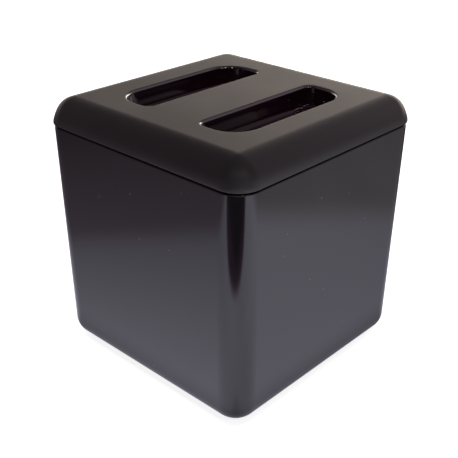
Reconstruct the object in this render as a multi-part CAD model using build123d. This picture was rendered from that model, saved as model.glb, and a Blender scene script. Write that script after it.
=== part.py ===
"""Square insulated ice bucket with a lift-off lid, built piece by piece in millimetres.

The origin is the middle of the surface that the bucket stands on, with +Z up.
Two finger wells run along X in the lid, one each side of the grip bar that they leave between them.
"""
from build123d import *
import math
import os

# Overall form
lid_width = 165.0            # across the lid, both ways
lid_height = 16.4            # lid moulding, lower edge to top
body_height = 152.8          # outer shell, base to rim
foot_proud = 1.5             # how far the feet stand below the base
shadow_gap = 1.0             # open line between the rim and the lid
rim_step = 0.3               # how far the rim stands inside the lid's edge
draft = 0.8                  # slope of every tub wall, degrees

# Outer shell
shell_wall = 2.5
shell_corner = 15.5          # upright corners, outside
shell_base_edge = 13.0       # rounding round the base
rim_edge = 0.8               # rounding on the rim's outer edge
ledge_width = 1.0            # step inside the rim that carries the liner
base_recess = 1.5            # how far the middle of the base is raised
base_recess_width = 92.0
base_recess_corner = 10.0

# Inner liner
liner_wall = 2.2
liner_inset = 11.0           # rim's outer face to the liner's inner face
liner_corner = 14.0          # upright corners, inside
liner_floor_edge = 8.0
floor_foam = 8.0             # insulation under the liner
mouth_edge = 1.0
locating_rib = 1.6
locating_rib_drop = 4.0

# Lid
lid_wall = 2.5
lid_corner = 15.0            # upright corners, outside
lid_crown = 15.8             # rounding from the sides to the top
lid_lower_edge = 0.4
plug_wall = 2.2
plug_depth = 9.0             # how far the plug reaches below the rim
plug_edge = 4.0
lid_foam_thickness = 7.4

# Finger wells
well_length = 101.0
well_width = 29.8
grip_bar = 40.8              # between the wells
well_depth = 14.0
well_outer_corner = 17.3
well_inner_corner = 5.8
well_draft = 2.0             # degrees
well_rim_edge = 1.8
well_floor_edge = 3.0
well_wall = 2.2
rib_thickness = 1.6
rib_height = 7.0
rib_spacing = 28.0
rib_count = 3

# Pegs that hold the lid's two mouldings together
peg_radius = 2.0
peg_from_middle = 42.0       # along each side, both ways
socket_wall = 1.5
socket_height = 4.6

# Feet and the screws that they cover
foot_radius = 7.8
foot_from_middle = 55.0      # both ways
foot_socket_depth = 2.0
foot_edge = 0.6              # chamfer round the foot's sole
screw_head_radius = 2.9
screw_head_height = 2.0
screw_head_edge = 0.8        # chamfer round the head
screw_radius = 1.45
screw_length = 9.0
boss_radius = 4.0
pad_radius = 11.5            # thick patch of base round each foot

# Clearances
seat_gap = 0.2               # between fixed mouldings that nest
foam_gap = 0.3               # round each block of insulation
plug_gap = 0.8               # between the lid's plug and the mouth
thread_gap = 0.05            # screw in its boss, peg in its socket
hole_gap = 0.35              # screw through the base

# Heights and widths that follow
slope = math.tan(math.radians(draft))
base_z = foot_proud
rim_z = base_z + body_height
lid_z = rim_z + shadow_gap
lid_top = lid_z + lid_height
rim_half = lid_width / 2 - rim_step
base_top = base_z + base_recess + shell_wall
ring_top = base_z + shell_wall
liner_under = base_top + floor_foam
liner_floor = liner_under + liner_wall
flange_under = rim_z - liner_wall
ledge_inset = shell_wall - ledge_width
mouth_half = rim_half - liner_inset
plug_bottom = rim_z - plug_depth
plug_inset = liner_inset + plug_gap
web_under = base_z + foot_socket_depth
foot_places = [(x, y) for x in (-foot_from_middle, foot_from_middle)
               for y in (-foot_from_middle, foot_from_middle)]
above = 30.0                 # how far cutting bodies run past what they cut


def half_at(z, inset):
    """Half the width, at height z, of a tub wall that stands inset from the shell's outer face."""
    return rim_half - (rim_z - z) * slope - inset


def tub(inset, low, high, corner, floor_edge=0.0):
    """A solid with the bucket's sloping sides, rounded upright corners and a rounded bottom edge."""
    width = 2 * half_at(low, inset)
    solid = extrude(Plane.XY.offset(low) * Rectangle(width, width), high - low, taper=-draft)
    solid = fillet(solid.edges().filter_by(lambda edge: abs(edge.tangent_at(0.5).Z) > 0.5), corner)
    if floor_edge:
        solid = fillet(solid.faces().sort_by(Axis.Z)[0].edges(), floor_edge)
    return solid


def slab(half, corner, low, high):
    """A plain upright block with a rounded square outline."""
    return extrude(Plane.XY.offset(low) * RectangleRounded(2 * half, 2 * half, corner), high - low)


def post(radius, x, y, low, high):
    """An upright round post."""
    return extrude(Plane.XY.offset(low) * Pos(x, y) * Circle(radius), high - low)


def outer_shell():
    """The glossy outside of the bucket, open at the top, with a raised panel in its base."""
    solid = tub(0, base_z, rim_z, shell_corner, shell_base_edge)
    solid = fillet(solid.faces().sort_by(Axis.Z)[-1].edges(), rim_edge)
    panel = slab(base_recess_width / 2, base_recess_corner, base_z, base_z + base_recess)
    inside = tub(shell_wall, ring_top, rim_z + above, shell_corner - shell_wall, shell_base_edge - shell_wall)
    step_half = base_recess_width / 2 + shell_wall
    inside -= slab(step_half, base_recess_corner + shell_wall, ring_top, base_top)
    for x, y in foot_places:
        inside -= post(pad_radius, x, y, ring_top, base_top)
    ledge = tub(ledge_inset, flange_under, rim_z + above, shell_corner - ledge_inset)
    solid = solid - panel - inside - ledge
    for x, y in foot_places:
        solid -= post(foot_radius + seat_gap, x, y, base_z - above, web_under)
        solid -= post(screw_radius + hole_gap, x, y, web_under, base_top)
    return solid


def liner_bosses():
    """The four posts under the liner that the base screws bite into, and the holes in them."""
    posts = [post(boss_radius, x, y, base_top + thread_gap, liner_under + liner_wall / 2) for x, y in foot_places]
    holes = [post(screw_radius + thread_gap, x, y, base_top, web_under + screw_length + seat_gap)
             for x, y in foot_places]
    return posts, holes


def inner_liner():
    """The tub that holds the ice, hung by its flange on the shell's ledge."""
    outside = tub(liner_inset - liner_wall, liner_under, rim_z, liner_corner + liner_wall,
                  liner_floor_edge + liner_wall)
    flange_corner = shell_corner - ledge_inset - seat_gap
    flange = tub(ledge_inset + seat_gap, flange_under, rim_z, flange_corner)
    rib_inset = shell_wall + seat_gap
    rib = tub(rib_inset, flange_under - locating_rib_drop, flange_under, shell_corner - rib_inset)
    rib -= tub(rib_inset + locating_rib, flange_under - above, flange_under + above,
               shell_corner - rib_inset - locating_rib)
    posts, holes = liner_bosses()
    solid = outside + flange + rib
    for piece in posts:
        solid += piece
    solid -= tub(liner_inset, liner_floor, rim_z + above, liner_corner, liner_floor_edge)
    for hole in holes:
        solid -= hole
    mouth = solid.faces().filter_by(Axis.Z).sort_by(Axis.Z)[-1].inner_wires()[0].edges()
    return fillet(mouth, mouth_edge)


def foam_jacket():
    """The insulation that fills the space between the liner and the shell, in one block."""
    outer_inset = shell_wall + foam_gap
    top = flange_under - locating_rib_drop - foam_gap
    solid = tub(outer_inset, base_top + foam_gap, top, shell_corner - outer_inset,
                shell_base_edge - outer_inset)
    inner_inset = liner_inset - liner_wall - foam_gap
    solid -= tub(inner_inset, liner_under - foam_gap, top + above, liner_corner + liner_wall + foam_gap,
                 liner_floor_edge + liner_wall)
    for x, y in foot_places:
        solid -= post(boss_radius + foam_gap, x, y, base_top - above, liner_under + liner_wall)
    return solid


def base_screw(x, y):
    """One pan-head screw, driven up through the base into the liner."""
    head_low = web_under - screw_head_height
    head = post(screw_head_radius, x, y, head_low, web_under)
    head = chamfer(head.edges().sort_by(Axis.Z)[0], screw_head_edge)
    return head + post(screw_radius, x, y, web_under, web_under + screw_length)


def foot(x, y):
    """One rubber foot, pushed into its socket and hollow where it goes over the screw's head."""
    solid = post(foot_radius, x, y, 0, web_under - thread_gap)
    solid = chamfer(solid.edges().sort_by(Axis.Z)[0], foot_edge)
    pocket_low = web_under - screw_head_height - seat_gap
    return solid - post(screw_head_radius + seat_gap, x, y, pocket_low, web_under)


def crown(inset, low, high):
    """A soft square pillow: a wide rounding along each side, and tighter upright corners."""
    width = lid_width - 2 * inset
    solid = extrude(Plane.XY.offset(low) * Rectangle(width, width), high - low)
    solid = fillet(solid.faces().sort_by(Axis.Z)[-1].edges(), lid_crown - inset)
    corners = solid.edges().filter_by(lambda edge: abs(edge.tangent_at(0.5).Z) > 0.1)
    return fillet(corners, lid_corner - inset)


def well_outline(grow):
    """A finger well from above: wide round corners outside, small ones beside the grip bar."""
    length = well_length + 2 * grow
    width = well_width + 2 * grow
    sketch = Rectangle(length, width)
    far = [corner for corner in sketch.vertices() if corner.Y > 0]
    sketch = fillet(far, well_outer_corner + grow)
    near = [corner for corner in sketch.vertices() if corner.Y < -width / 2 + 0.1]
    return fillet(near, well_inner_corner + grow)


def finger_well(side, grow, depth):
    """The hollow of one well, or with some growth the walls that stand round it."""
    middle = side * (grip_bar + well_width) / 2
    turn = 0 if side > 0 else 180
    place = Plane.XY.offset(lid_top) * Pos(0, middle) * Rot(0, 0, turn)
    return extrude(place * well_outline(grow), -depth, taper=well_draft)


def peg_places():
    """The middles of the lid's pegs, two along each side, over the plug's flange."""
    from_middle = (half_at(rim_z, plug_inset) + lid_width / 2 - lid_wall) / 2
    for along in (-peg_from_middle, peg_from_middle):
        for across in (-from_middle, from_middle):
            yield along, across
            yield across, along


def lid_shell():
    """The top moulding of the lid, with both finger wells, ribs under the grip bar and eight pegs."""
    outside = crown(0, lid_z, lid_top)
    outside = fillet(outside.faces().sort_by(Axis.Z)[0].edges(), lid_lower_edge)
    solid = outside - crown(lid_wall, lid_z - above, lid_top - lid_wall)
    ribs_low = lid_top - lid_wall - rib_height
    for place in range(rib_count):
        x = (place - (rib_count - 1) / 2) * rib_spacing
        solid += Pos(x, 0, (ribs_low + lid_top - lid_wall / 2) / 2) * Box(
            rib_thickness, grip_bar, lid_top - lid_wall / 2 - ribs_low)
    for x, y in peg_places():
        solid += post(peg_radius, x, y, rim_z + plug_wall + seat_gap, lid_top) & outside
    for side in (-1, 1):
        solid += finger_well(side, well_wall, well_depth + well_wall) & outside
    for side in (-1, 1):
        hollow = finger_well(side, 0, well_depth)
        solid -= fillet(hollow.faces().sort_by(Axis.Z)[0].edges(), well_floor_edge)
    top = solid.faces().filter_by(Axis.Z).sort_by(Axis.Z)[-1]
    return fillet([edge for wire in top.inner_wires() for edge in wire.edges()], well_rim_edge)


def lid_liner():
    """The underside of the lid: a dish that plugs the mouth, with a flange that rests on the rim."""
    flange = slab(lid_width / 2 - lid_wall - foam_gap, lid_corner - lid_wall - foam_gap, rim_z, rim_z + plug_wall)
    plug = tub(plug_inset, plug_bottom, rim_z + plug_wall, liner_corner - plug_gap, plug_edge)
    hollow = tub(plug_inset + plug_wall, plug_bottom + plug_wall, rim_z + above,
                 liner_corner - plug_gap - plug_wall, plug_edge - plug_wall)
    solid = flange + plug - hollow
    for x, y in peg_places():
        solid += post(peg_radius + thread_gap + socket_wall, x, y, rim_z + plug_wall,
                      rim_z + plug_wall + socket_height)
    for x, y in peg_places():
        solid -= post(peg_radius + thread_gap, x, y, rim_z + plug_wall, rim_z + above)
    return solid


def lid_foam():
    """The slab of insulation that lies in the lid's dish, below the wells."""
    low = plug_bottom + plug_wall + foam_gap
    inset = plug_inset + plug_wall + foam_gap
    return tub(inset, low, low + lid_foam_thickness, liner_corner - plug_gap - plug_wall - foam_gap,
               plug_edge - plug_wall)


def save(name, shape):
    """Write one node's solids to its own file."""
    shape.label = name
    export_step(shape, os.path.join("parts", name + ".step"))


def main():
    os.makedirs("parts", exist_ok=True)
    save("outer_shell", outer_shell())
    save("inner_liner", inner_liner())
    save("foam_jacket", foam_jacket())
    save("base_screws", Compound(children=[base_screw(x, y) for x, y in foot_places]))
    names = ["foot_front_left", "foot_rear_left", "foot_front_right", "foot_rear_right"]
    for name, (x, y) in zip(names, foot_places):
        save(name, foot(x, y))
    save("lid_shell", lid_shell())
    save("lid_liner", lid_liner())
    save("lid_foam", lid_foam())


main()
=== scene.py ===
"""Finishes, stage and camera for the square ice bucket, laid out as an add-on and run as a script."""
import math

import bpy
from bpy.props import FloatProperty, FloatVectorProperty, PointerProperty
from mathutils import Matrix, Vector


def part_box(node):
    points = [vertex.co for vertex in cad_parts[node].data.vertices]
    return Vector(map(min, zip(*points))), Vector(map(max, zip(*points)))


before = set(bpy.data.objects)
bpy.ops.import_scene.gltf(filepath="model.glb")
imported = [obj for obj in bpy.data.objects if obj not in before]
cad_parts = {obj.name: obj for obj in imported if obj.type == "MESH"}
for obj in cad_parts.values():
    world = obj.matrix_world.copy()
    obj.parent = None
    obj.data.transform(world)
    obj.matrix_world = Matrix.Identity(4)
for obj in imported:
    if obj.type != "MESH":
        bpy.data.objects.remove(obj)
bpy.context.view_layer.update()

bl_info = {
    "name": "Square Ice Bucket",
    "version": (1, 0, 0),
    "blender": (4, 5, 0),
    "location": "View3D > Sidebar > Ice Bucket",
    "description": "Finishes the moulded pieces of a lidded ice bucket and sets it on a pale studio floor",
    "category": "Object",
}

MM = 0.001
FEET = ("foot_front_left", "foot_front_right", "foot_rear_left", "foot_rear_right")

# Lid, in metres: its top, the ground that the finger wells cover, measured from its middle with a little to
# spare, and the heights over which their rims and the feet of their walls change finish
LID_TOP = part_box("lid_shell")[1].z
WELL_HALF_LENGTH = 52.6 * MM
WELL_NEAR_SIDE = 18.6 * MM
WELL_FAR_SIDE = 52.0 * MM
WELL_RIM_HEIGHTS = (LID_TOP - 0.55 * MM, LID_TOP - 0.1 * MM)
WELL_WALL_HEIGHTS = (LID_TOP - 11.5 * MM, LID_TOP - 9.0 * MM)

# Finishes: indices of refraction, and the colours of dust on the shell and on the lid
PLASTIC_IOR = 1.5
WELL_COAT_IOR = 2.4
SHELL_DUST = (0.25, 0.24, 0.23)
LID_DUST = (0.3, 0.28, 0.26)

# Sheets, in metres
FLOOR_HALF = 6.0
FLOOR_GLOW = 0.85
SHEET_HALF = 3.0
SHEET_HEIGHT = -0.5 * MM

# Painted light that the polished sides mirror, on a glowing sheet the camera doesn't see, by metres across
# the stage and away from its front. Each brightness is its value at the middle, then its change per metre
# across and per metre away.
PAPER_LEFT = (1.34, 3.1, -1.8)
PAPER_RIGHT = (0.64, 0.95, -4.3)
PAPER_RIGHT_START = -0.18
BEYOND_LEFT = (0.52, 0.75, -0.52)
BEYOND_RIGHT = (0.43, 0.21, -1.24)
BEYOND_LEAST = 0.12
PAPER_TINT = (0.955, 0.925, 1.11)
BEYOND_LEFT_TINT = (1.07, 0.86, 1.07)
BEYOND_RIGHT_TINT = (1.02, 0.96, 1.01)
# Where left turns into right, and where the paper begins and ends
SIDES_MEET = (-0.05, 0.05)
PAPER_LEFT_EDGE = (-0.272, -0.225)
PAPER_RIGHT_EDGE = (0.255, 0.325)
# Painted streaks in the ground past the paper's right edge
STREAK_STRETCH = (1.5, 9.0)
STREAK_SCALE = 3.0
STREAK_STRENGTH = 0.35
# Painted shade: a round dark patch on the sheet, and the V of deeper gloom inside it
PAINTED_SHADE_MIDDLE = (-0.046, -0.470)
PAINTED_SHADE_RADIUS = 0.212
PAINTED_SHADE_SOFTNESS = 0.022
PAINTED_SHADE_TINT = (1.15, 0.62, 1.10)
GLOOM = 0.16
CORE_LOSS = 0.12
CORE_TIP = -0.292
CORE_SLOPES = (3.6, 1.8)
CORE_EDGE = (-0.015, 0.02)
# The painted shadow under the bucket, by distance from its middle
PAINTED_SHADOW_LIGHT = 0.3
PAINTED_SHADOW_EDGE = (0.070, 0.105)

# The room, by the parts of a direction: across the stage, away from its front, and up. Each brightness is its
# least value, then what it gains over its rise to the right.
WALL_LIGHT = (1.38, 1.72)
WALL_RISE = (-0.20, 0.26)
WALL_TINT = (1.13, 1.0, 0.83)
WALL_AWAY = (0.35, 0.85)
WALL_UP = (0.16, 0.43)
ROOM_LIGHT = (0.11, 0.14)
ROOM_RISE = (-0.3, 0.6)
ROOM_TINT = (1.06, 0.90, 1.03)
# What is left of the room's light at the front
FRONT_LIGHT = 0.15
FRONT_FALL = (-0.6, 0.2)

# Lights, in metres and watts
OVERHEAD_HEIGHT = 1.6
OVERHEAD_SIZE = 1.6
OVERHEAD_POWER = 14.0
LAMP_DISTANCE = 1.5
# Small lamps that glint in the finger wells: name, turn and height in degrees, size, power
LAMPS = (
    ("lamp_left", -14.0, 42.0, 0.10, 0.5),
    ("lamp_right", 22.0, 42.0, 0.10, 0.7),
    ("window", 37.0, 31.0, 0.16, 0.3),
)


# Shader maths -------------------------------------------------------------------------------------

class Value:
    """One number that changes over a surface, so that maths on it reads as a Python expression."""

    def __init__(self, shader, socket):
        self.shader = shader
        self.socket = socket

    def maths(self, operation, *others):
        return self.shader.maths(operation, self, *others)

    def __add__(self, other):
        return self.maths("ADD", other)

    def __radd__(self, other):
        return self.shader.maths("ADD", other, self)

    def __sub__(self, other):
        return self.maths("SUBTRACT", other)

    def __rsub__(self, other):
        return self.shader.maths("SUBTRACT", other, self)

    def __mul__(self, other):
        return self.maths("MULTIPLY", other)

    def __rmul__(self, other):
        return self.shader.maths("MULTIPLY", other, self)

    def __abs__(self):
        return self.maths("ABSOLUTE")

    def least(self, other):
        return self.maths("MINIMUM", other)

    def most(self, other):
        return self.maths("MAXIMUM", other)

    def root(self):
        return self.maths("SQRT")

    def smooth(self, low, high):
        """0 at low, 1 at high, with a soft start and end."""
        return self.shader.node(
            "ShaderNodeMapRange",
            {"interpolation_type": "SMOOTHSTEP", "clamp": True},
            {"Value": self, "From Min": low, "From Max": high},
        )


class Shader:
    """One material's or the world's nodes."""

    def __init__(self, owner):
        owner.use_nodes = True
        self.tree = owner.node_tree
        self.tree.nodes.clear()

    def put(self, socket, value):
        if isinstance(value, Value):
            self.tree.links.new(value.socket, socket)
        else:
            socket.default_value = value

    def node(self, kind, settings=None, sockets=None, output=0):
        """Adds a node: its settings first, then the values or links of its sockets."""
        made = self.tree.nodes.new(kind)
        for name, value in (settings or {}).items():
            setattr(made, name, value)
        for name, value in (sockets or {}).items():
            self.put(made.inputs[name], value)
        return Value(self, made.outputs[output]) if made.outputs else None

    def maths(self, operation, *values):
        return self.node("ShaderNodeMath", {"operation": operation}, dict(enumerate(values)))

    def place(self):
        """The surface's own position in metres, in the bucket's frame."""
        return self.node("ShaderNodeTexCoord", output="Object")

    def parts_of(self, vector):
        """The X, Y and Z parts of a vector."""
        along_x = self.node("ShaderNodeSeparateXYZ", {}, {"Vector": vector})
        return [Value(self, along_x.socket.node.outputs[axis]) for axis in "XYZ"]

    def vector(self, x, y, z):
        return self.node("ShaderNodeCombineXYZ", {}, {"X": x, "Y": y, "Z": z})

    def noise(self, vector, scale, detail=2.0, roughness=0.5):
        return self.node(
            "ShaderNodeTexNoise",
            {"noise_dimensions": "3D"},
            {"Vector": vector, "Scale": scale, "Detail": detail, "Roughness": roughness},
            output="Fac",
        )

    def specks(self, vector, scale, size):
        """1 inside small scattered dots, 0 elsewhere."""
        distance = self.node("ShaderNodeTexVoronoi", {"feature": "F1"},
                             {"Vector": vector, "Scale": scale}, output="Distance")
        return 1 - distance.smooth(size * 0.5, size)

    def mix(self, factor, first, second):
        """A colour between two colours, which a mix node takes in sockets 6 and 7 and gives in 2."""
        return self.node(
            "ShaderNodeMix", {"data_type": "RGBA"}, {"Factor": factor, 6: first, 7: second}, output=2
        )

    def scaled(self, tint, brightness):
        """A colour times a brightness, which may be over 1."""
        return self.node("ShaderNodeVectorMath", {"operation": "SCALE"}, {0: tint, "Scale": brightness})

    def bump(self, height, distance, strength=1.0):
        """A relief whose full height is distance, in metres."""
        return self.node(
            "ShaderNodeBump", {}, {"Height": height, "Distance": distance, "Strength": strength}
        )

    def surface(self, **sockets):
        """A surface from its named sockets, and the output that shows it."""
        named = {name.replace("_", " "): value for name, value in sockets.items()}
        made = self.node("ShaderNodeBsdfPrincipled", {}, named)
        self.node("ShaderNodeOutputMaterial", {}, {"Surface": made})


def new_material(name):
    material = bpy.data.materials.new(name)
    return material, Shader(material)


def colour(values, shade=1.0):
    """An opaque colour, made darker or lighter by a shade."""
    return (*(value * shade for value in values), 1.0)


# Finishes -----------------------------------------------------------------------------------------

def polished_plastic(name, black, roughness):
    """Mould-polished black plastic: faint flow clouds, a slight ripple and a few specks of dust."""
    material, shader = new_material(name)
    place = shader.place()
    clouds = shader.noise(place, scale=18.0, detail=3.0)
    fine = shader.noise(place, scale=900.0, detail=2.0)
    dust = shader.specks(place, scale=80.0, size=0.036)
    base = shader.mix(clouds, colour(black, shade=0.8), colour(black, shade=1.3))
    base = shader.mix(dust * 0.8, base, colour(SHELL_DUST))
    rough = roughness * (0.8 + 0.4 * clouds) + 0.02 * fine + 0.3 * dust
    ripple = shader.noise(place, scale=32.0, detail=1.0) + 0.012 * fine
    relief = shader.bump(ripple, distance=0.035 * MM)
    shader.surface(Base_Color=base, Roughness=rough, IOR=PLASTIC_IOR, Normal=relief)
    return material


def lid_plastic(settings):
    """Satin spark-eroded black over the lid, changing to a mirror polish inside the finger wells."""
    material, shader = new_material("lid_satin_black")
    place = shader.place()
    x, y, z = shader.parts_of(place)
    below_rim = 1 - z.smooth(*WELL_RIM_HEIGHTS)
    within = 1 - abs(x).smooth(WELL_HALF_LENGTH, WELL_HALF_LENGTH + MM)
    within = within * abs(y).smooth(WELL_NEAR_SIDE - MM, WELL_NEAR_SIDE)
    within = within * (1 - abs(y).smooth(WELL_FAR_SIDE, WELL_FAR_SIDE + MM))
    polished = within * below_rim
    walls = polished * z.smooth(*WELL_WALL_HEIGHTS)
    grain = shader.noise(place, scale=2600.0, detail=3.0, roughness=0.6)
    clouds = shader.noise(place, scale=24.0, detail=3.0)
    dust = shader.specks(place, scale=85.0, size=0.038) * (1 - polished)
    lid_colour = settings.lid_colour
    black = shader.mix(clouds, colour(lid_colour, shade=0.85), colour(lid_colour, shade=1.15))
    black = shader.mix(dust * 0.7, black, colour(LID_DUST))
    satin = settings.lid_roughness * (0.9 + 0.2 * clouds) + 0.08 * (grain - 0.5)
    rough = satin + polished * (settings.well_roughness - satin)
    black = shader.mix(polished, black, colour(settings.well_colour))
    relief = shader.bump(grain * (1 - polished), distance=0.03 * MM, strength=0.6)
    shader.surface(Base_Color=black, Roughness=rough, IOR=PLASTIC_IOR, Coat_Weight=walls,
                   Coat_IOR=WELL_COAT_IOR, Coat_Roughness=0.03, Normal=relief)
    return material


def foam_material():
    """White expanded foam: close-packed beads, with painted shade darkening the creases between them."""
    material, shader = new_material("bead_foam")
    place = shader.place()
    crease = shader.node("ShaderNodeTexVoronoi", {"feature": "DISTANCE_TO_EDGE"},
                         {"Vector": place, "Scale": 380.0}, output="Distance")
    bead = crease.smooth(0.0, 0.12)
    # Painted shade: the foam turns darker towards the creases between the beads
    base = shader.mix(bead, colour((0.62, 0.61, 0.58)), colour((0.86, 0.85, 0.82)))
    relief = shader.bump(bead, distance=0.2 * MM)
    shader.surface(Base_Color=base, Roughness=0.85 - 0.2 * bead, Normal=relief)
    return material


def rubber_material():
    """Soft matt rubber with a fine bloom."""
    material, shader = new_material("foot_rubber")
    place = shader.place()
    bloom = shader.noise(place, scale=220.0, detail=4.0)
    base = shader.mix(bloom, colour((0.014, 0.014, 0.015)), colour((0.04, 0.04, 0.041)))
    relief = shader.bump(shader.noise(place, scale=1500.0, detail=2.0), distance=0.05 * MM)
    shader.surface(Base_Color=base, Roughness=0.68 + 0.2 * bloom, Normal=relief)
    return material


def screw_material():
    """Bright zinc plate with a fine mottle."""
    material, shader = new_material("zinc_steel")
    mottle = shader.noise(shader.place(), scale=700.0, detail=3.0)
    base = shader.mix(mottle, colour((0.5, 0.51, 0.53)), colour((0.68, 0.68, 0.66)))
    relief = shader.bump(mottle, distance=0.02 * MM)
    shader.surface(Base_Color=base, Metallic=1.0, Roughness=0.24 + 0.2 * mottle, Normal=relief)
    return material


# Settings -----------------------------------------------------------------------------------------

class BucketFinish(bpy.types.PropertyGroup):
    """Colours and polish of the moulded pieces"""

    shell_colour: FloatVectorProperty(
        name="Shell colour", description="Black of the outer shell", subtype="COLOR",
        default=(0.0050, 0.0045, 0.0052), min=0.0, max=1.0)
    shell_roughness: FloatProperty(
        name="Shell roughness", description="Polish of the outer shell", subtype="FACTOR",
        default=0.10, min=0.0, max=1.0)
    lid_colour: FloatVectorProperty(
        name="Lid colour", description="Black of the lid", subtype="COLOR",
        default=(0.0125, 0.0094, 0.0108), min=0.0, max=1.0)
    lid_roughness: FloatProperty(
        name="Lid roughness", description="Satin of the lid's outside", subtype="FACTOR",
        default=0.45, min=0.0, max=1.0)
    well_colour: FloatVectorProperty(
        name="Well colour", description="Black of the polished finger wells", subtype="COLOR",
        default=(0.014, 0.003, 0.008), min=0.0, max=1.0)
    well_roughness: FloatProperty(
        name="Well roughness", description="Polish inside the finger wells", subtype="FACTOR",
        default=0.07, min=0.0, max=1.0)
    liner_colour: FloatVectorProperty(
        name="Liner colour", description="Black of the liner and the lid's underside", subtype="COLOR",
        default=(0.024, 0.023, 0.024), min=0.0, max=1.0)
    liner_roughness: FloatProperty(
        name="Liner roughness", description="Polish of the liner and the lid's underside", subtype="FACTOR",
        default=0.28, min=0.0, max=1.0)


class BucketStage(bpy.types.PropertyGroup):
    """Camera, floor and lights"""

    distance: FloatProperty(
        name="Camera distance", description="From the aim point to the camera", unit="LENGTH",
        default=0.5442)
    azimuth: FloatProperty(
        name="Camera azimuth", description="Turn round the bucket, 0 looking along +Y", subtype="ANGLE",
        default=math.radians(-47.15))
    elevation: FloatProperty(
        name="Camera elevation", description="Height above the horizon", subtype="ANGLE",
        default=math.radians(27.06))
    roll: FloatProperty(
        name="Camera roll", description="Turn about the line of sight", subtype="ANGLE",
        default=math.radians(0.35))
    aim_height: FloatProperty(
        name="Aim height", description="Height of the point looked at", unit="LENGTH", default=0.0791)
    lens: FloatProperty(
        name="Lens", description="Focal length in millimetres on a 36 mm sensor", unit="CAMERA",
        default=64.08)
    shift: FloatProperty(
        name="Sideways shift", description="Share of the picture's width", default=-0.0041)
    floor_colour: FloatVectorProperty(
        name="Floor colour", description="Colour of the pale floor", subtype="COLOR",
        default=(0.9, 0.9, 0.9), min=0.0, max=1.0)


# Helpers ------------------------------------------------------------------------------------------

def dress(names, material):
    """Gives CAD nodes their finish."""
    for name in names:
        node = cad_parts[name]
        node.data.materials.clear()
        node.data.materials.append(material)


def link(thing):
    bpy.context.scene.collection.objects.link(thing)
    return thing


def square(name, half, height):
    """A level square sheet about the bucket's middle."""
    corners = [(-half, -half, height), (half, -half, height), (half, half, height), (-half, half, height)]
    mesh = bpy.data.meshes.new(name)
    mesh.from_pydata(corners, [], [(0, 1, 2, 3)])
    return link(bpy.data.objects.new(name, mesh))


def direction(azimuth, elevation):
    """The direction from the bucket out to a turn and a height, both angles in radians."""
    level = math.cos(elevation)
    return Vector((math.sin(azimuth) * level, -math.cos(azimuth) * level, math.sin(elevation)))


def view_axes(stage):
    """The camera's right, up and backward directions, roll included."""
    back = direction(stage.azimuth, stage.elevation)
    right = Vector((math.cos(stage.azimuth), math.sin(stage.azimuth), 0.0))
    up = back.cross(right)
    turn = Matrix.Rotation(stage.roll, 3, back)
    return turn @ right, turn @ up, back


def stage_axes(stage, x, y):
    """Turns distances along the bucket's own axes to those across the stage and away from its front."""
    cosine, sine = math.cos(stage.azimuth), math.sin(stage.azimuth)
    return x * cosine + y * sine, x * -sine + y * cosine


def slope(brightness, across, away):
    """A brightness that changes evenly across the stage and away from its front."""
    middle, per_across, per_away = brightness
    return middle + per_across * across + per_away * away


# Operators ----------------------------------------------------------------------------------------

class BucketOperator:
    """What every operator shares."""

    bl_options = {"REGISTER", "UNDO"}


class BUCKET_OT_shell(BucketOperator, bpy.types.Operator):
    """Polish the outer shell"""

    bl_idname = "ice_bucket.shell"
    bl_label = "Outer Shell"

    def execute(self, context):
        finish = context.scene.bucket_finish
        material = polished_plastic("shell_gloss_black", finish.shell_colour, finish.shell_roughness)
        dress(["outer_shell"], material)
        return {"FINISHED"}


class BUCKET_OT_liners(BucketOperator, bpy.types.Operator):
    """Finish the liner that holds the ice and the dish under the lid"""

    bl_idname = "ice_bucket.liners"
    bl_label = "Liners"

    def execute(self, context):
        finish = context.scene.bucket_finish
        material = polished_plastic("liner_black", finish.liner_colour, finish.liner_roughness)
        dress(["inner_liner", "lid_liner"], material)
        return {"FINISHED"}


class BUCKET_OT_lid(BucketOperator, bpy.types.Operator):
    """Finish the lid: satin outside, polished finger wells"""

    bl_idname = "ice_bucket.lid"
    bl_label = "Lid"

    def execute(self, context):
        dress(["lid_shell"], lid_plastic(context.scene.bucket_finish))
        return {"FINISHED"}


class BUCKET_OT_foam(BucketOperator, bpy.types.Operator):
    """Finish the two blocks of insulation"""

    bl_idname = "ice_bucket.foam"
    bl_label = "Foam"

    def execute(self, context):
        dress(["foam_jacket", "lid_foam"], foam_material())
        return {"FINISHED"}


class BUCKET_OT_feet(BucketOperator, bpy.types.Operator):
    """Finish the rubber feet"""

    bl_idname = "ice_bucket.feet"
    bl_label = "Feet"

    def execute(self, context):
        dress(FEET, rubber_material())
        return {"FINISHED"}


class BUCKET_OT_screws(BucketOperator, bpy.types.Operator):
    """Finish the screws under the base"""

    bl_idname = "ice_bucket.screws"
    bl_label = "Screws"

    def execute(self, context):
        dress(["base_screws"], screw_material())
        return {"FINISHED"}


class BUCKET_OT_stage(BucketOperator, bpy.types.Operator):
    """Add the camera, the pale floor, the room and the studio lights"""

    bl_idname = "ice_bucket.stage"
    bl_label = "Stage"

    def execute(self, context):
        stage = context.scene.bucket_stage
        add_camera(stage)
        add_floor(stage)
        add_painted_reflection_sheet(stage)
        add_world(stage)
        add_lights(stage)
        context.scene.view_settings.view_transform = "Standard"
        return {"FINISHED"}


def add_camera(stage):
    """The camera, aimed at a point on the bucket's upright axis."""
    right, up, back = view_axes(stage)
    data = bpy.data.cameras.new("camera")
    data.sensor_width = 36.0
    data.lens = stage.lens
    data.shift_x = stage.shift
    data.clip_start = 0.01
    data.clip_end = 50.0
    camera = link(bpy.data.objects.new("camera", data))
    turn = Matrix((right, up, back)).transposed().to_4x4()
    place = Vector((0, 0, stage.aim_height)) + back * stage.distance
    camera.matrix_world = Matrix.Translation(place) @ turn
    bpy.context.scene.camera = camera


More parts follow.
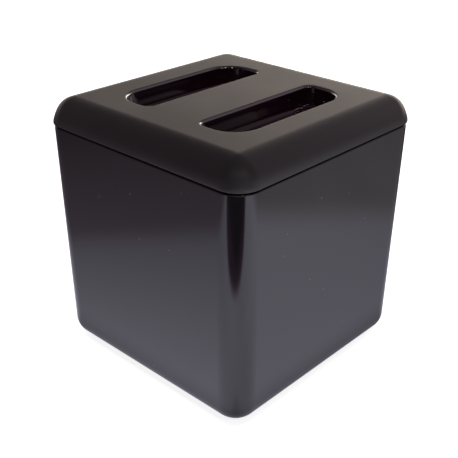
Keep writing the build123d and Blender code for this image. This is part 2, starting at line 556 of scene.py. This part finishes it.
def add_floor(stage):
    """A pale floor that takes soft shadows. Polished surfaces mirror the glowing sheet of painted light below
    it instead.
    """
    floor = square("floor", FLOOR_HALF, 0)
    floor.visible_glossy = False
    material, shader = new_material("pale_floor")
    mottle = shader.noise(shader.place(), scale=40.0, detail=2.0)
    base = shader.mix(mottle, colour(stage.floor_colour, shade=0.99), colour(stage.floor_colour))
    shader.surface(Base_Color=base, Roughness=0.9, Emission_Color=colour((1, 1, 1)),
                   Emission_Strength=FLOOR_GLOW)
    floor.data.materials.append(material)


def add_painted_reflection_sheet(stage):
    """Painted light for the bucket's polished sides to mirror: lit paper, with dimmer ground past its two
    edges.

    The sheet glows and only reflections see it. A round patch of painted shade shows as a dark wedge on the
    bucket's front corner. Its core is darker, and a painted shadow darkens the ground right under the bucket.
    """
    sheet = square("painted_reflection_paper", SHEET_HALF, SHEET_HEIGHT)
    sheet.visible_camera = False
    sheet.visible_diffuse = False
    sheet.visible_shadow = False
    material, shader = new_material("painted_paper_light")
    x, y, _ = shader.parts_of(shader.place())
    across, away = stage_axes(stage, x, y)
    to_right = across.smooth(*SIDES_MEET)
    paper_left = slope(PAPER_LEFT, across, away)
    paper_right = slope(PAPER_RIGHT, across, away.most(PAPER_RIGHT_START))
    beyond_left = slope(BEYOND_LEFT, across, away)
    beyond_right = slope(BEYOND_RIGHT, across, away)
    # Painted light: the brightness of lit paper and the dimmer ground round it, glowing from the sheet
    paper = paper_left + to_right * (paper_right - paper_left)
    beyond = (beyond_left + to_right * (beyond_right - beyond_left)).most(BEYOND_LEAST)
    on_paper = across.smooth(*PAPER_LEFT_EDGE) * (1 - across.smooth(*PAPER_RIGHT_EDGE))
    stretched = shader.vector(across * STREAK_STRETCH[0], away * STREAK_STRETCH[1], 0.0)
    streaks = shader.noise(stretched, scale=STREAK_SCALE)
    beyond = beyond * (1 + STREAK_STRENGTH * to_right * (streaks - 0.5))
    bright = beyond + on_paper * (paper - beyond)
    # Painted shade: a round dark patch with a darker V-shaped core, mirrored as a dark wedge on the front
    # corner
    shade_across, shade_away = across - PAINTED_SHADE_MIDDLE[0], away - PAINTED_SHADE_MIDDLE[1]
    from_painted_shade = (shade_across * shade_across + shade_away * shade_away).root()
    off_painted_shade = (from_painted_shade - PAINTED_SHADE_RADIUS).smooth(0.0, PAINTED_SHADE_SOFTNESS)
    depth = CORE_TIP - away
    core = (CORE_SLOPES[0] * depth + across).least(CORE_SLOPES[1] * depth - across)
    gloom = GLOOM - CORE_LOSS * core.smooth(*CORE_EDGE)
    bright = gloom + off_painted_shade * (bright - gloom)
    # Painted shadow: the sheet dims right under the bucket
    clear_of_painted_shadow = abs(x).most(abs(y)).smooth(*PAINTED_SHADOW_EDGE)
    bright = bright * (PAINTED_SHADOW_LIGHT + (1 - PAINTED_SHADOW_LIGHT) * clear_of_painted_shadow)
    tint = shader.mix(to_right, colour(BEYOND_LEFT_TINT), colour(BEYOND_RIGHT_TINT))
    tint = shader.mix(on_paper, tint, colour(PAPER_TINT))
    tint = shader.mix(off_painted_shade, colour(PAINTED_SHADE_TINT), tint)
    shader.surface(Base_Color=colour((0, 0, 0)), Roughness=1.0, Specular_IOR_Level=0.0,
                   Emission_Color=shader.scaled(tint, bright), Emission_Strength=1.0)
    sheet.data.materials.append(material)


def add_world(stage):
    """A warm pale wall low behind the bucket, in a dim room that is darkest towards the front."""
    world = bpy.data.worlds.new("studio")
    bpy.context.scene.world = world
    shader = Shader(world)
    x, y, up = shader.parts_of(shader.node("ShaderNodeTexCoord", output="Generated"))
    across, away = stage_axes(stage, x, y)
    on_wall = away.smooth(*WALL_AWAY) * (1 - up.smooth(*WALL_UP))
    room = ROOM_LIGHT[0] + ROOM_LIGHT[1] * across.smooth(*ROOM_RISE)
    room = room * (FRONT_LIGHT + (1 - FRONT_LIGHT) * away.smooth(*FRONT_FALL))
    wall = WALL_LIGHT[0] + WALL_LIGHT[1] * across.smooth(*WALL_RISE)
    strength = room + on_wall * (wall - room)
    tint = shader.mix(on_wall, colour(ROOM_TINT), colour(WALL_TINT))
    background = shader.node("ShaderNodeBackground", {}, {"Color": shader.scaled(tint, strength)})
    shader.node("ShaderNodeOutputWorld", {}, {"Surface": background})


def add_light(name, place, aim, size, power):
    """A soft square light that shines from place towards aim."""
    data = bpy.data.lights.new(name, "AREA")
    data.shape = "SQUARE"
    data.size = size
    data.energy = power
    lamp = link(bpy.data.objects.new(name, data))
    lamp.location = place
    lamp.rotation_mode = "QUATERNION"
    lamp.rotation_quaternion = (aim - place).to_track_quat("-Z", "Y")
    lamp.visible_camera = False
    return lamp


def add_lights(stage):
    """A broad light overhead that polished surfaces don't mirror, and the small lamps round the front."""
    aim = Vector((0, 0, stage.aim_height))
    above = aim + Vector((0, 0, OVERHEAD_HEIGHT))
    overhead = add_light("overhead", above, aim, OVERHEAD_SIZE, OVERHEAD_POWER)
    overhead.visible_glossy = False
    for name, turn, height, size, power in LAMPS:
        out = direction(stage.azimuth + math.radians(turn), math.radians(height))
        add_light(name, aim + LAMP_DISTANCE * out, aim, size, power)


class BUCKET_PT_panel(bpy.types.Panel):
    """The bucket's settings and its operators"""

    bl_label = "Ice Bucket"
    bl_idname = "BUCKET_PT_panel"
    bl_space_type = "VIEW_3D"
    bl_region_type = "UI"
    bl_category = "Ice Bucket"

    def draw(self, context):
        layout = self.layout
        for group in (context.scene.bucket_finish, context.scene.bucket_stage):
            for name in group.bl_rna.properties.keys():
                if name not in ("rna_type", "name"):
                    layout.prop(group, name)
        for operator in OPERATORS:
            layout.operator(operator.bl_idname)


OPERATORS = (
    BUCKET_OT_shell,
    BUCKET_OT_liners,
    BUCKET_OT_lid,
    BUCKET_OT_foam,
    BUCKET_OT_feet,
    BUCKET_OT_screws,
    BUCKET_OT_stage,
)
CLASSES = (BucketFinish, BucketStage, *OPERATORS, BUCKET_PT_panel)


def register():
    for cls in CLASSES:
        bpy.utils.register_class(cls)
    bpy.types.Scene.bucket_finish = PointerProperty(type=BucketFinish)
    bpy.types.Scene.bucket_stage = PointerProperty(type=BucketStage)


def unregister():
    del bpy.types.Scene.bucket_stage
    del bpy.types.Scene.bucket_finish
    for cls in reversed(CLASSES):
        bpy.utils.unregister_class(cls)


def main():
    """Makes every piece in order."""
    register()
    bpy.ops.ice_bucket.shell()
    bpy.ops.ice_bucket.liners()
    bpy.ops.ice_bucket.lid()
    bpy.ops.ice_bucket.foam()
    bpy.ops.ice_bucket.feet()
    bpy.ops.ice_bucket.screws()
    bpy.ops.ice_bucket.stage()


if __name__ == "__main__":
    main()
